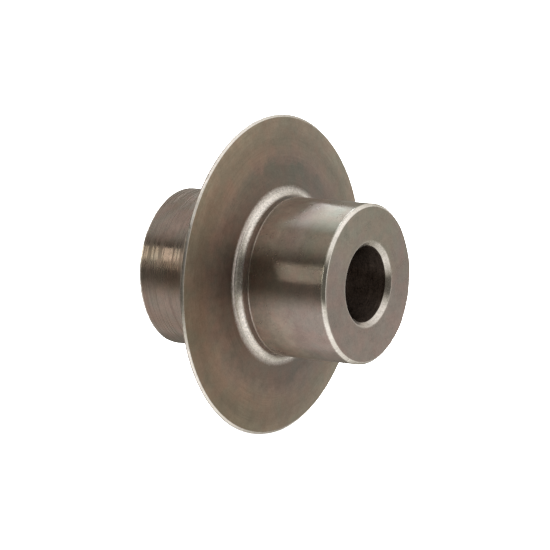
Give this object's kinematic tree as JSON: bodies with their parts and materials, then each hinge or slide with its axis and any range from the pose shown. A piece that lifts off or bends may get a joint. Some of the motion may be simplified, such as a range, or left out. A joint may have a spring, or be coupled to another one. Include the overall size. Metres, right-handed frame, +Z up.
{
  "type": "cutter wheel",
  "caption": "Hardened steel cutting wheel: a thin tapered disc with a ground edge between two thick-walled hubs, bored through for an axle pin.",
  "frame": {"origin": "centre of the wheel, on its axle line, halfway between the two hub end faces", "axes": "Y along the axle line with the front hub towards -Y, +Z up, X across the disc"},
  "size_m": [0.0508, 0.0352, 0.0508],
  "materials": {
    "tinted_steel": "heat-tinted, finely turned, satin",
    "turned_steel": "heat-tinted, finely turned, half-bright"
  },
  "bodies": {
    "root": {"cutting_disc": "tinted_steel", "front_hub": "turned_steel", "rear_hub": "turned_steel"}
  },
  "joints": []
}
